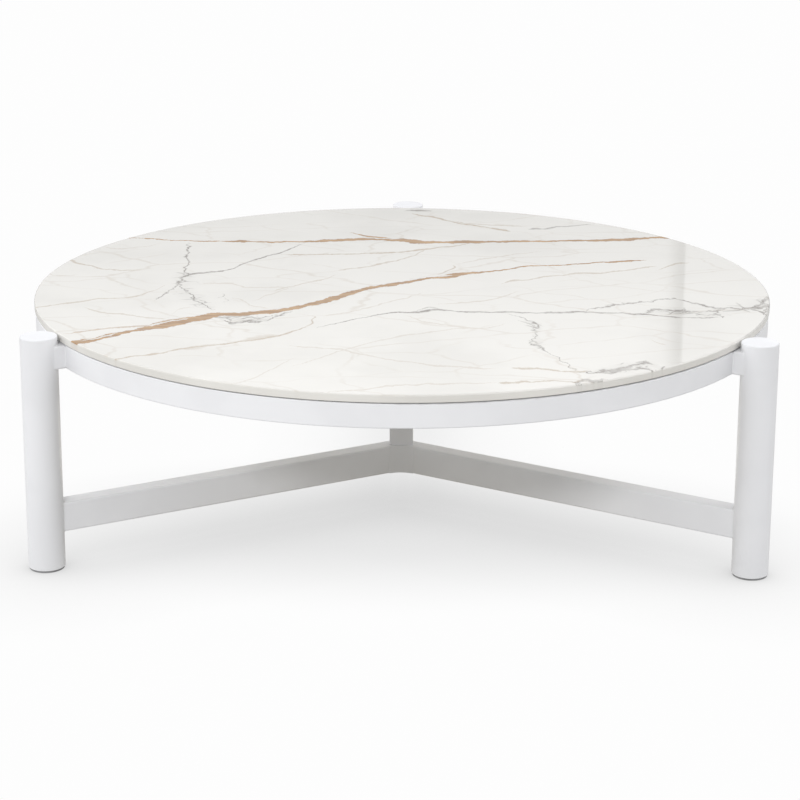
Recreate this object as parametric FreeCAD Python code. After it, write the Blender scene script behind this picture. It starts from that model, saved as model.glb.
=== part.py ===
import FreeCAD, Part
import math
import os

from FreeCAD import Vector

# Round cocktail table: a thin stone disc on a welded tube frame with three round legs.
# Millimetres, +Z up, floor at z = 0, origin on the axis of the round top, front towards -Y.

# Stone top
top_diameter = 1220.0
top_thickness = 12.0
top_upper_edge = 2.0
top_lower_edge = 1.0
table_height = 381.0

# Silicone pads that carry the stone and leave a shadow gap under it
pad_thickness = 2.0
ring_pad_diameter = 14.0
ring_pad_count = 9
spoke_pad_diameter = 16.0
post_pad_diameter = 30.0

# Ring apron, a rectangular tube rolled to a hoop
ring_inset = 1.5
ring_height = 37.0
ring_depth = 20.0
ring_wall = 2.0
ring_corner = 2.0
drain_hole_diameter = 6.0

# Legs, round tubes that stand just outside the stone and end flush with it
leg_diameter = 58.0
leg_wall = 3.0
leg_gap = 3.0
leg_foot_edge = 1.0
leg_cap_thickness = 4.0
leg_cap_edge = 1.5
leg_cap_register = 2.0

# Stubs, short rectangular tubes from the ring to the legs
stub_width = 50.0
stub_wall = 2.5
stub_corner = 3.0

# Lower stretcher rails and the post where they meet
rail_width = 30.0
rail_height = 48.0
rail_wall = 2.0
rail_corner = 3.0
rail_underside = 59.5
post_width = 40.0
post_wall = 2.5
post_corner = 2.0
post_plate = 3.0

# Spokes that hold the head of the post inside the ring
spoke_width = 20.0
spoke_height = 30.0
spoke_wall = 2.0
spoke_corner = 2.0

# Levelling glides and the threaded inserts in the legs
glide_diameter = 55.0
glide_height = 3.0
glide_edge = 0.8
glide_boss_diameter = 20.0
glide_boss_height = 6.0
glide_floor = 1.0
glide_seat_gap = 0.3
stem_diameter = 10.0
stem_length = 38.0
stem_chamfer = 1.0
insert_length = 26.0
insert_groove_depth = 1.5
insert_groove_width = 3.0
insert_groove_count = 3

# Clearances
weld_gap = 0.2
insert_clearance = 0.1
stem_clearance = 0.1
boss_clearance = 1.0

# Legs by name, evenly spaced around the axis from the rear one, in degrees
rear_azimuth = 90.0
leg_names = ("rear", "front_left", "front_right")
leg_azimuths = {name: rear_azimuth + 360.0 * index / len(leg_names) for index, name in enumerate(leg_names)}

# Sizes that follow from the ones above
top_radius = top_diameter / 2
top_underside = table_height - top_thickness
frame_top = top_underside - pad_thickness
ring_underside = frame_top - ring_height
ring_outer = top_radius - ring_inset
ring_inner = ring_outer - ring_depth
leg_radius = leg_diameter / 2
leg_bore = leg_radius - leg_wall
leg_circle = top_radius + leg_gap + leg_radius
leg_underside = glide_height + glide_seat_gap
leg_tube_top = table_height - leg_cap_thickness
rail_top = rail_underside + rail_height
post_half = post_width / 2
long_reach = 4 * leg_circle
edge_match = 1e-6


def cylinder(radius, low, high, x=0.0, y=0.0):
    return Part.makeCylinder(radius, high - low, Vector(x, y, low))


def box(low, high):
    return Part.makeBox(high[0] - low[0], high[1] - low[1], high[2] - low[2], Vector(*low))


def revolved(points):
    """A turned solid from (radius, height) points, about the Z axis."""
    outline = Part.makePolygon([Vector(r, 0, z) for r, z in points + points[:1]])
    return Part.Face(outline).revolve(Vector(0, 0, 0), Vector(0, 0, 1), 360)


def lengthwise_edges(solid, direction):
    """The straight edges of a solid that run along a direction."""
    edges = []
    for edge in solid.Edges:
        run = edge.Vertexes[-1].Point - edge.Vertexes[0].Point
        if run.Length > 0 and run.normalize().cross(direction).Length < edge_match:
            edges.append(edge)
    return edges


def circle_edges(solid, radius, height):
    """The circular edges of a turned solid at one radius and height."""
    found = []
    for edge in solid.Edges:
        curve = edge.Curve
        if isinstance(curve, Part.Circle) and abs(curve.Radius - radius) < edge_match:
            if abs(curve.Center.z - height) < edge_match:
                found.append(edge)
    return found


def tube_along_x(length, width, height, wall, corner, underside):
    """A rectangular tube from the origin along +X, with rounded outer corners."""
    along = Vector(1, 0, 0)
    side = width / 2
    top = underside + height
    outside = box((0, -side, underside), (length, side, top))
    outside = outside.makeFillet(corner, lengthwise_edges(outside, along))
    return outside.cut(box((0, wall - side, underside + wall), (length, side - wall, top - wall)))


def turned(shape, azimuth):
    shape = shape.copy()
    shape.rotate(Vector(0, 0, 0), Vector(0, 0, 1), azimuth)
    return shape


def leg_centre(azimuth):
    angle = math.radians(azimuth)
    return leg_circle * math.cos(angle), leg_circle * math.sin(angle)


def at_leg(shape, azimuth):
    """A piece modelled on the Z axis, moved to the leg at an azimuth."""
    shape = shape.copy()
    x, y = leg_centre(azimuth)
    shape.translate(Vector(x, y, 0))
    return shape


def post_cutter(name):
    """The space that a member has to leave free where it butts against the post."""
    if name == "rear":
        return box((-long_reach, -long_reach, 0), (long_reach, post_half, table_height))
    return box((-post_half, -long_reach, 0), (post_half, long_reach, table_height))


def make_stone_top():
    slab = cylinder(top_radius, top_underside, table_height)
    slab = slab.makeFillet(top_upper_edge, circle_edges(slab, top_radius, table_height))
    return slab.makeFillet(top_lower_edge, circle_edges(slab, top_radius, top_underside))


def make_ring_apron():
    hoop = cylinder(ring_outer, ring_underside, frame_top)
    hoop = hoop.cut(cylinder(ring_inner, ring_underside, frame_top))
    rims = []
    for radius in (ring_outer, ring_inner):
        for height in (ring_underside, frame_top):
            rims += circle_edges(hoop, radius, height)
    hoop = hoop.makeFillet(ring_corner, rims)
    channel = cylinder(ring_outer - ring_wall, ring_underside + ring_wall, frame_top - ring_wall)
    channel = channel.cut(cylinder(ring_inner + ring_wall, ring_underside, frame_top))
    hoop = hoop.cut(channel)
    middle = (ring_outer + ring_inner) / 2
    drain_top = ring_underside + 2 * ring_wall
    drain = cylinder(drain_hole_diameter / 2, ring_underside - ring_wall, drain_top, middle)
    for azimuth in leg_azimuths.values():
        hoop = hoop.cut(turned(drain, azimuth + 180))
    return hoop


def make_leg(azimuth):
    tube = cylinder(leg_radius, leg_underside, leg_tube_top)
    tube = tube.makeFillet(leg_foot_edge, circle_edges(tube, leg_radius, leg_underside))
    tube = tube.cut(cylinder(leg_bore, leg_underside, leg_tube_top))
    return at_leg(tube, azimuth)


def make_leg_cap(azimuth):
    disc = cylinder(leg_radius, leg_tube_top, table_height)
    disc = disc.makeFillet(leg_cap_edge, circle_edges(disc, leg_radius, table_height))
    register = cylinder(leg_bore - weld_gap, leg_tube_top - leg_cap_register, leg_tube_top)
    return at_leg(disc.fuse(register).removeSplitter(), azimuth)


def make_stub(azimuth):
    tube = tube_along_x(leg_circle, stub_width, ring_height, stub_wall, stub_corner, ring_underside)
    tube = tube.cut(cylinder(ring_outer + weld_gap, 0, table_height))
    tube = tube.cut(cylinder(leg_radius + weld_gap, 0, table_height, leg_circle))
    return turned(tube, azimuth)


def make_rail(name, azimuth):
    tube = tube_along_x(leg_circle, rail_width, rail_height, rail_wall, rail_corner, rail_underside)
    tube = tube.cut(cylinder(leg_radius + weld_gap, 0, table_height, leg_circle))
    return turned(tube, azimuth).cut(post_cutter(name))


def make_spoke(name, azimuth):
    underside = frame_top - spoke_height
    tube = tube_along_x(ring_outer, spoke_width, spoke_height, spoke_wall, spoke_corner, underside)
    tube = tube.common(cylinder(ring_inner - weld_gap, 0, table_height))
    return turned(tube, azimuth).cut(post_cutter(name))


def make_centre_post():
    low = rail_underside + post_plate
    high = frame_top - post_plate
    outside = box((-post_half, -post_half, low), (post_half, post_half, high))
    outside = outside.makeFillet(post_corner, lengthwise_edges(outside, Vector(0, 0, 1)))
    bore = post_half - post_wall
    return outside.cut(box((-bore, -bore, low), (bore, bore, high)))


def make_post_plate(underside):
    plate = box((-post_half, -post_half, underside), (post_half, post_half, underside + post_plate))
    return plate.makeFillet(post_corner, lengthwise_edges(plate, Vector(0, 0, 1)))


def make_corner_filler():
    """Fills the corner in front of the post, hollowed so that it runs into the front faces of both rails."""
    slope = math.radians(leg_azimuths["front_left"] - 180)
    run = (post_half + rail_width / 2 * math.sin(slope)) / math.cos(slope)
    rail_face = -run * math.sin(slope) - rail_width / 2 * math.cos(slope)
    hollow_radius = post_half / math.sin(slope)
    hollow_middle = rail_face + hollow_radius * (1 - math.cos(slope))
    left_back = Vector(-post_half, -post_half, rail_underside)
    left_front = Vector(-post_half, rail_face, rail_underside)
    middle = Vector(0, hollow_middle, rail_underside)
    right_front = Vector(post_half, rail_face, rail_underside)
    right_back = Vector(post_half, -post_half, rail_underside)
    outline = Part.Wire([
        Part.LineSegment(left_back, left_front).toShape(),
        Part.Arc(left_front, middle, right_front).toShape(),
        Part.LineSegment(right_front, right_back).toShape(),
        Part.LineSegment(right_back, left_back).toShape(),
    ])
    return Part.Face(outline).extrude(Vector(0, 0, rail_height))


def make_pad(diameter, radius, azimuth):
    return turned(cylinder(diameter / 2, frame_top, top_underside, radius), azimuth)


def make_ring_pads():
    middle = (ring_outer + ring_inner) / 2
    step = 360.0 / ring_pad_count
    return [make_pad(ring_pad_diameter, middle, (index + 0.5) * step) for index in range(ring_pad_count)]


def make_centre_pads():
    middle = (ring_inner + post_half) / 2
    pads = [make_pad(spoke_pad_diameter, middle, azimuth) for azimuth in leg_azimuths.values()]
    return pads + [make_pad(post_pad_diameter, 0, 0)]


def make_foot_insert(azimuth):
    outer = leg_bore - insert_clearance
    low = leg_underside
    high = low + insert_length
    recess_top = low + glide_boss_height + boss_clearance
    recess = glide_boss_diameter / 2 + boss_clearance
    thread = stem_diameter / 2 + stem_clearance
    plug = revolved([
        (thread, recess_top),
        (recess, recess_top),
        (recess, low),
        (outer, low),
        (outer, high),
        (thread, high),
    ])
    pitch = insert_length / insert_groove_count
    for index in range(insert_groove_count):
        groove_low = low + (index + 0.5) * pitch - insert_groove_width / 2
        groove = cylinder(outer + insert_clearance, groove_low, groove_low + insert_groove_width)
        plug = plug.cut(groove.cut(cylinder(outer - insert_groove_depth, low, high)))
    return at_leg(plug, azimuth)


def make_glide(azimuth):
    disc = cylinder(glide_diameter / 2, 0, glide_height)
    disc = disc.makeFillet(glide_edge, circle_edges(disc, glide_diameter / 2, 0))
    boss = cylinder(glide_boss_diameter / 2, glide_height, glide_height + glide_boss_height)
    base = disc.fuse(boss).removeSplitter()
    socket = cylinder(stem_diameter / 2 + stem_clearance, glide_floor, glide_height + glide_boss_height)
    return at_leg(base.cut(socket), azimuth)


def make_glide_stem(azimuth):
    stem = cylinder(stem_diameter / 2, glide_floor, glide_floor + stem_length)
    rims = circle_edges(stem, stem_diameter / 2, glide_floor + stem_length)
    return at_leg(stem.makeChamfer(stem_chamfer, rims), azimuth)


def make_parts():
    parts = {
        "stone_top": make_stone_top(),
        "ring_apron": make_ring_apron(),
        "centre_post": make_centre_post(),
        "post_base_plate": make_post_plate(rail_underside),
        "post_head_plate": make_post_plate(frame_top - post_plate),
        "corner_filler": make_corner_filler(),
        "ring_pads": Part.makeCompound(make_ring_pads()),
        "centre_pads": Part.makeCompound(make_centre_pads()),
    }
    for name, azimuth in leg_azimuths.items():
        parts["leg_" + name] = make_leg(azimuth)
        parts["leg_cap_" + name] = make_leg_cap(azimuth)
        parts["stub_" + name] = make_stub(azimuth)
        parts["rail_" + name] = make_rail(name, azimuth)
        parts["spoke_" + name] = make_spoke(name, azimuth)
        parts["foot_insert_" + name] = make_foot_insert(azimuth)
        parts["glide_" + name] = make_glide(azimuth)
        parts["glide_stem_" + name] = make_glide_stem(azimuth)
    return parts


def main():
    os.makedirs("parts", exist_ok=True)
    for name, shape in make_parts().items():
        shape.exportStep("parts/" + name + ".step")
        print(name, len(shape.Solids), "solid", round(shape.Volume), "mm3", shape.isValid())


main()
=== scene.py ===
"""Finishes, weld beads and studio for a round cocktail table with a veined stone top."""

import math
from collections import namedtuple

import bmesh
import bpy
from bpy.props import FloatProperty, FloatVectorProperty, PointerProperty
from mathutils import Matrix, Vector


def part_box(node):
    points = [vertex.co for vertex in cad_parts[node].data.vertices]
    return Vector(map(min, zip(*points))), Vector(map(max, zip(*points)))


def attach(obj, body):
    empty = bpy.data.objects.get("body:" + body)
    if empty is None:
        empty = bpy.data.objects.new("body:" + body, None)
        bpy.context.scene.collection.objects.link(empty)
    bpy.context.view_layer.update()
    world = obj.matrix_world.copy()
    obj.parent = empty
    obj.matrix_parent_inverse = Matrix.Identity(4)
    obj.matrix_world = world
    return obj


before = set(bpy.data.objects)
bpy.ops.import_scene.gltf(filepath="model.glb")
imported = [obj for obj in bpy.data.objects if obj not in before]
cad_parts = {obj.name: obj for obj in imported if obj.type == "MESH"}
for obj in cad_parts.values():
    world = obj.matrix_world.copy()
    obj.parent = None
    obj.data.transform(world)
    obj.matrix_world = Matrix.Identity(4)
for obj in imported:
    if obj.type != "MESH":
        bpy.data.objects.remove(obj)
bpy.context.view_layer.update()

bl_info = {
    "name": "Round cocktail table",
    "version": (1, 0, 0),
    "blender": (4, 5, 0),
    "location": "3D View > Sidebar > Table",
    "description": "Finishes, weld beads and studio for a round cocktail table",
    "category": "Object",
}

MM = 0.001
BODY = "frame"
LEG_NAMES = ("front_left", "front_right", "rear")
COATED_NODES = ("ring_apron", "centre_post", "post_base_plate", "post_head_plate", "corner_filler")
COATED_LEG_NODES = ("leg", "leg_cap", "stub", "rail", "spoke")


def node_span(name):
    """Size of a CAD node along X, Y and Z."""
    low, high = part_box(name)
    return Vector(high) - Vector(low)


def node_middle(name):
    """Middle of a CAD node's box."""
    low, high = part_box(name)
    return (Vector(high) + Vector(low)) / 2


# Sizes from the frame. The rear leg, rail, stub and spoke lie along Y, so their boxes are true.
LEG_RADIUS = node_span("leg_rear").x / 2
LEG_CIRCLE = node_middle("leg_rear").y
RAIL_WIDTH = node_span("rail_rear").x
RAIL_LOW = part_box("rail_rear")[0][2]
RAIL_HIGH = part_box("rail_rear")[1][2]
STUB_WIDTH = node_span("stub_rear").x
STUB_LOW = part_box("stub_rear")[0][2]
STUB_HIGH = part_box("stub_rear")[1][2]
SPOKE_WIDTH = node_span("spoke_rear").x
SPOKE_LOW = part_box("spoke_rear")[0][2]
SPOKE_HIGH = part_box("spoke_rear")[1][2]
POST_HALF = node_span("centre_post").x / 2
RING_OUTER = node_span("ring_apron").x / 2
RING_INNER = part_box("spoke_rear")[1][1]
TOP_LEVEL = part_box("stone_top")[1][2]

# One vein of the stone: the axis it runs along, how strong it is, and its course as
# points of distance along, distance across and half width, in millimetres from the centre.
Vein = namedtuple("Vein", "axis strength course")

# Gold veins.
GOLD_VEINS = (
    Vein("x", 1.0, (
        (-520, -372, 13), (-492, -354, 13), (-477, -350, 14), (-466, -337, 14), (-454, -324, 13),
        (-436, -307, 12), (-418, -290, 10), (-395, -273, 11), (-381, -262, 17), (-353, -241, 23),
        (-320, -209, 21), (-304, -195, 21), (-290, -186, 14), (-248, -182, 10), (-226, -173, 12),
        (-180, -152, 14), (-161, -136, 12), (-117, -87, 15), (-75, -34, 14), (-55, -14, 12),
        (-19, 11, 13), (0, 24, 10), (16, 36, 9), (34, 50, 7), (53, 60, 8), (83, 77, 14), (111, 96, 9),
        (132, 101, 6), (188, 130, 5), (211, 146, 5), (270, 157, 4), (344, 180, 5), (370, 187, 7),
        (395, 192, 6), (440, 200, 0))),
    Vein("x", 1.0, (
        (-520, 342, 2.5), (-498, 339, 2.5), (-456, 333, 3), (-422, 321, 3), (-344, 317, 3.5),
        (-314, 317, 5), (-298, 319, 7), (-280, 315, 5), (-191, 317, 6), (-167, 326, 7), (-137, 329, 9),
        (-96, 340, 11), (-76, 342, 9), (-56, 340, 7), (-33, 341, 9), (-17, 337, 13), (6, 331, 14),
        (29, 323, 13), (51, 324, 10), (107, 327, 12), (129, 327, 9), (162, 328, 7), (204, 336, 8),
        (238, 336, 7), (303, 343, 7), (402, 356, 9), (429, 365, 8), (462, 374, 7), (490, 370, 6))),
    Vein("x", 0.8, ((-400, -252, 0), (-377, -235, 4), (-356, -218, 4), (-330, -203, 0))),
    Vein("x", 0.5, (
        (-535, -314, 0), (-494, -296, 4), (-458, -278, 4), (-399, -258, 4), (-380, -250, 0))),
    Vein("x", 0.9, ((-112, 400, 0), (-84, 377, 5), (-60, 361, 7), (-37, 355, 5), (-10, 346, 0))),
)

# Pale slivers that split the gold veins into strands.
GOLD_SPLITS = (
    Vein("x", 0.9, ((-495, -350, 0), (-472, -337, 4), (-454, -319, 4), (-425, -296, 0))),
    Vein("x", 0.9, ((-405, -260, 0), (-380, -246, 4), (-355, -226, 4), (-325, -206, 0))),
    Vein("x", 0.8, ((-84, -56, 0), (-40, -12, 4), (-5, 6, 5), (15, 26, 0))),
    Vein("x", 0.9, ((54, 65, 0), (70, 76, 6), (90, 80, 0))),
    Vein("x", 0.7, ((-60, 345, 0), (-34, 349, 5), (0, 342, 0))),
)

# Thin brown veins.
TAN_VEINS = (
    Vein("x", 0.75, (
        (-450, -456, 5), (-418, -443, 5), (-378, -421, 5), (-366, -414, 8), (-353, -407, 5),
        (-321, -380, 6), (-287, -369, 6), (-251, -346, 7), (-201, -319, 7), (-185, -306, 6),
        (-153, -268, 5), (-138, -243, 0))),
    Vein("x", 0.35, ((-332, -386, 0), (-302, -376, 15), (-270, -356, 0))),
    Vein("x", 0.4, ((-252, -345, 0), (-233, -330, 15), (-201, -316, 14), (-180, -302, 0))),
    Vein("y", 0.7, (
        (-255, -147, 0), (-247, -141, 2), (-229, -137, 3), (-211, -139, 3), (-197, -134, 2),
        (-187, -149, 2), (-180, -160, 0))),
    Vein("x", 0.6, (
        (-620, -156, 5), (-588, -150, 5), (-533, -122, 6), (-502, -98, 6), (-462, -89, 4),
        (-435, -73, 5), (-415, -43, 4), (-385, 2, 0))),
    Vein("x", 0.65, (
        (-600, 172, 8), (-567, 142, 8), (-542, 124, 5), (-514, 102, 4), (-479, 98, 5), (-440, 100, 0))),
    Vein("x", 0.5, (
        (-525, -143, 0), (-485, -176, 5), (-448, -191, 5), (-385, -213, 5), (-365, -220, 0))),
    Vein("x", 0.75, (
        (-235, 222, 0), (-177, 220, 6), (-75, 232, 6), (-18, 243, 7), (48, 274, 7), (81, 289, 7),
        (125, 312, 0))),
    Vein("x", 0.65, (
        (-115, 108, 0), (-107, 112, 6), (-69, 134, 5), (-41, 156, 7), (-17, 178, 5), (14, 215, 5),
        (33, 256, 4), (45, 272, 0))),
    Vein("x", 0.5, ((-215, -35, 0), (-204, -25, 5), (-164, 19, 5), (-130, 50, 5), (-110, 78, 0))),
    Vein("x", 0.8, (
        (5, 560, 0), (16, 553, 7), (64, 516, 8), (85, 491, 7), (131, 458, 7), (184, 423, 9),
        (198, 417, 0))),
    Vein("x", 0.55, ((80, 494, 0), (118, 477, 6), (198, 461, 6), (240, 457, 0))),
    Vein("x", 0.6, (
        (160, 27, 0), (193, 49, 8), (211, 52, 7), (230, 66, 5), (242, 75, 5), (314, 101, 7),
        (339, 103, 7), (397, 133, 5), (426, 151, 7), (445, 160, 0))),
    Vein("x", 0.6, ((425, 125, 0), (468, 165, 7), (485, 180, 8), (505, 186, 0))),
    Vein("y", 0.75, ((82, 58, 0), (88, 63, 3), (113, 77, 3), (142, 88, 3), (158, 83, 0))),
    Vein("x", 0.7, (
        (145, -548, 0), (155, -546, 5), (194, -540, 5), (231, -532, 5), (254, -538, 6),
        (275, -534, 0))),
    Vein("x", 0.7, (
        (165, -477, 0), (176, -474, 5), (194, -472, 6), (241, -482, 5), (267, -486, 7),
        (290, -482, 0))),
    Vein("x", 0.4, ((385, -308, 0), (403, -335, 7), (412, -337, 0))),
    Vein("x", 0.35, (
        (-350, 5, 0), (-320, 13, 5), (-293, 14, 6), (-257, -14, 5), (-221, -13, 5), (-165, -12, 0))),
    Vein("x", 0.35, ((-290, -80, 0), (-258, -102, 5), (-241, -135, 5), (-200, -147, 0))),
    Vein("x", 0.35, ((-255, -104, 0), (-218, -60, 5), (-165, -6, 0))),
    Vein("x", 0.3, ((-375, -216, 0), (-355, -155, 5), (-325, -140, 0))),
    Vein("x", 0.3, ((-245, -562, 0), (-208, -536, 5), (-185, -491, 5), (-135, -424, 0))),
    Vein("x", 0.3, ((-555, 275, 0), (-521, 257, 5), (-486, 261, 5), (-462, 275, 4), (-430, 310, 0))),
    Vein("x", 0.4, ((-615, 75, 5), (-589, 54, 5), (-545, 66, 0))),
    Vein("x", 0.35, ((-135, -194, 0), (-87, -168, 5), (-40, -123, 5), (6, -76, 5), (50, -36, 0))),
    Vein("x", 0.35, (
        (-185, -362, 0), (-124, -374, 5), (-89, -380, 5), (-47, -410, 5), (12, -443, 5), (110, -472, 5),
        (170, -476, 0))),
    Vein("x", 0.35, ((-110, -598, 0), (-62, -591, 5), (19, -560, 5), (117, -551, 4), (160, -546, 0))),
    Vein("x", 0.3, (
        (-180, -480, 0), (-86, -389, 5), (-28, -328, 5), (57, -275, 5), (121, -252, 5),
        (155, -252, 0))),
    Vein("x", 0.35, ((0, -185, 0), (37, -218, 5), (82, -243, 5), (127, -254, 5), (185, -222, 0))),
    Vein("x", 0.35, ((80, 153, 0), (112, 179, 5), (159, 213, 5), (208, 242, 4), (262, 260, 0))),
    Vein("x", 0.4, ((45, -112, 0), (94, -101, 5), (135, -89, 5), (168, -59, 5), (205, -24, 0))),
)

# Smooth grey veins.
GREY_VEINS = (
    Vein("x", 0.85, (
        (-378, 57, 0), (-370, 62, 10), (-355, 77, 11), (-341, 86, 9), (-322, 93, 6), (-307, 99, 6),
        (-279, 150, 8), (-258, 186, 6), (-229, 222, 7), (-199, 275, 6), (-175, 310, 0))),
    Vein("x", 0.85, (
        (-142, -265, 0), (-104, -239, 3), (-71, -209, 3), (-38, -183, 4), (-10, -166, 6), (19, -163, 6),
        (45, -153, 9), (59, -147, 8), (79, -151, 5), (122, -160, 6), (194, -159, 5), (257, -157, 6),
        (298, -153, 8), (333, -157, 6), (386, -164, 5), (434, -178, 5), (487, -182, 5),
        (518, -175, 0))),
    Vein("x", 0.6, ((14, -161, 0), (36, -142, 5), (50, -132, 5), (70, -148, 0))),
    Vein("x", 0.75, ((-12, 579, 0), (9, 588, 10), (40, 586, 8), (54, 581, 0))),
    Vein("x", 0.7, (
        (224, 434, 0), (240, 437, 10), (252, 436, 7), (276, 449, 6), (303, 461, 6), (368, 479, 0))),
)

# Jagged grey cracks.
GREY_CRACKS = (
    Vein("y", 0.9, (
        (-165, -295, 0), (-147, -309, 3), (-132, -318, 3), (-116, -329, 4.5), (-99, -340, 3),
        (-74, -345, 3), (-41, -356, 3), (-18, -367, 4.5), (14, -377, 4.5), (42, -376, 3),
        (59, -370, 4.5), (77, -372, 3), (121, -379, 3), (155, -375, 3), (197, -386, 3), (232, -387, 3),
        (272, -389, 3), (315, -396, 0))),
    Vein("y", 0.8, (
        (-112, -404, 0), (-89, -399, 3), (-66, -393, 3), (-40, -386, 3), (-13, -380, 3),
        (14, -375, 4.5), (24, -374, 0))),
    Vein("y", 0.75, (
        (-137, -331, 0), (-112, -320, 3), (-98, -326, 3), (-92, -340, 3), (-84, -350, 3),
        (-72, -345, 0))),
    Vein("y", 0.6, ((-87, -305, 0), (-80, -301, 2.5), (-66, -294, 2.5), (-48, -293, 0))),
    Vein("y", 0.45, ((-120, -290, 0), (-95, -284, 2.5), (-76, -293, 0))),
    Vein("x", 0.85, (
        (-288, -214, 0), (-266, -237, 9.5), (-254, -238, 8.5), (-245, -225, 5), (-233, -229, 8.5),
        (-219, -229, 9.5), (-210, -218, 7), (-196, -194, 6), (-182, -176, 9.5), (-172, -166, 0))),
    Vein("x", 0.75, (
        (-272, -213, 0), (-251, -215, 8.5), (-239, -204, 5), (-226, -207, 8.5), (-216, -200, 7),
        (-190, -182, 0))),
    Vein("x", 0.65, ((-300, -205, 0), (-274, -195, 8.5), (-257, -199, 6), (-230, -189, 0))),
    Vein("y", 0.65, ((-242, -261, 0), (-228, -266, 2.5), (-210, -274, 2.5), (-194, -276, 0))),
    Vein("y", 0.6, ((-234, -231, 0), (-218, -238, 2.5), (-202, -240, 0))),
    Vein("x", 0.85, (
        (296, -155, 0), (308, -136, 7), (327, -128, 8), (333, -115, 10), (347, -110, 7), (417, -77, 5),
        (445, -62, 5), (472, -83, 5), (490, -105, 6), (509, -121, 8), (546, -123, 7), (567, -118, 7),
        (584, -102, 9), (594, -77, 11), (606, -55, 10))),
    Vein("x", 0.8, (
        (384, -166, 0), (399, -147, 5), (412, -132, 8), (435, -138, 9), (463, -145, 6), (485, -147, 6),
        (506, -140, 8), (532, -123, 0))),
    Vein("x", 0.65, (
        (408, -134, 0), (436, -156, 6), (459, -154, 6), (484, -163, 5), (508, -160, 9),
        (518, -157, 0))),
    Vein("y", 0.8, ((-184, 515, 0), (-177, 512, 3), (-160, 508, 4), (-135, 513, 3), (-124, 517, 0))),
    Vein("x", 0.85, ((555, -122, 0), (578, -121, 11), (597, -109, 12), (612, -100, 12))),
    Vein("x", 0.8, ((558, -121, 0), (581, -141, 9.5), (589, -159, 11), (602, -176, 7))),
    Vein("y", 0.8, (
        (-168, 582, 0), (-157, 585, 3), (-124, 591, 4.5), (-90, 591, 3), (-54, 598, 3), (-38, 603, 0))),
    Vein("y", 0.8, (
        (-495, 271, 0), (-463, 258, 2), (-426, 244, 2), (-395, 230, 2), (-373, 220, 3.5),
        (-350, 212, 4), (-338, 204, 4), (-323, 204, 3.5), (-306, 211, 2.5), (-290, 214, 3.5),
        (-272, 211, 2.5), (-249, 217, 4), (-230, 216, 4), (-218, 209, 4), (-197, 202, 3.5),
        (-181, 188, 2), (-158, 160, 0))),
    Vein("y", 0.65, (
        (-272, 209, 0), (-246, 211, 2.5), (-221, 205, 2.5), (-211, 193, 2.5), (-203, 184, 0))),
    Vein("y", 0.65, (
        (-388, 227, 0), (-376, 222, 2.5), (-338, 214, 2.5), (-324, 205, 2.5), (-316, 201, 0))),
    Vein("x", 0.75, (
        (255, -491, 0), (299, -485, 8.5), (315, -480, 12), (331, -470, 8.5), (343, -456, 12),
        (357, -446, 11), (371, -437, 9.5), (384, -448, 0))),
    Vein("x", 0.7, (
        (295, -488, 0), (312, -492, 9.5), (323, -479, 7), (341, -472, 13), (360, -464, 13),
        (373, -475, 12), (380, -484, 8.5), (400, -467, 0))),
    Vein("x", 0.6, (
        (250, -538, 0), (264, -538, 8), (272, -530, 11), (285, -535, 9), (295, -531, 6),
        (312, -527, 0))),
    Vein("x", 0.6, ((255, -545, 0), (276, -549, 7), (292, -546, 0))),
)

# Patches where the stone is crazed.
CRAZED_PATCHES = (
    Vein("y", 0.7, (
        (-175, -300, 0), (-120, -325, 32), (-40, -360, 26), (60, -372, 26), (110, -378, 0))),
    Vein("x", 0.85, ((-310, -200, 0), (-265, -212, 24), (-215, -207, 24), (-180, -184, 0))),
    Vein("x", 0.8, (
        (380, -152, 0), (440, -145, 30), (500, -152, 36), (555, -118, 40), (615, -100, 60))),
    Vein("x", 0.9, ((262, -494, 0), (320, -468, 22), (370, -452, 26), (405, -466, 0))),
    Vein("y", 0.8, ((-385, 218, 0), (-340, 212, 16), (-285, 212, 9), (-230, 212, 16), (-185, 192, 0))),
)

# A course runs on level past its ends, from END_RUN millimetres beyond each. VEIN_TRIM comes off every
# half width, so a vein is gone where its half width is nought. SOFT_LEAST is its narrowest soft border.
END_RUN = 20
VEIN_TRIM = 0.5 * MM
SOFT_LEAST = 0.5 * MM

# How a kind of vein is drawn: how far the edges of veins along X and along Y wander, how much of
# the half width is soft, and whether the courses turn in sharp corners.
Manner = namedtuple("Manner", "wander softness sharp")
GOLD_MANNER = Manner({"x": 10.0 * MM, "y": 4.0 * MM}, 0.25, False)
SPLIT_MANNER = Manner({"x": 12.0 * MM, "y": 4.0 * MM}, 0.5, False)
TAN_MANNER = Manner({"x": 11.0 * MM, "y": 4.0 * MM}, 0.9, False)
GREY_MANNER = Manner({"x": 10.0 * MM, "y": 6.0 * MM}, 0.9, False)
CRACK_MANNER = Manner({"x": 12.0 * MM, "y": 8.0 * MM}, 1.0, True)
PATCH_MANNER = Manner({"x": 18.0 * MM, "y": 8.0 * MM}, 1.0, False)

# A noise in the stone: its cells per metre, detail and roughness, and the band of values that is used.
Ripple = namedtuple("Ripple", "scale detail roughness low high")
VEIN_EDGES = Ripple(26.0, 8.0, 0.7, 0.2, 0.8)
CRACK_EDGES = Ripple(48.0, 4.0, 0.6, 0.25, 0.75)
VEIN_SWELL = Ripple(22.0, 5.0, 0.7, 0.3, 0.7)
STONE_CLOUDS = Ripple(4.0, 5.0, 0.55, 0.42, 0.68)
GREY_BREAKS = Ripple(34.0, 4.0, 0.6, 0.35, 0.6)
# A vein swells between these shares of its half width, and a grey one fades to BROKEN_GREY at its breaks.
SWELL_LEAST = 0.55
SWELL_MOST = 1.65
BROKEN_GREY = 0.55

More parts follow.
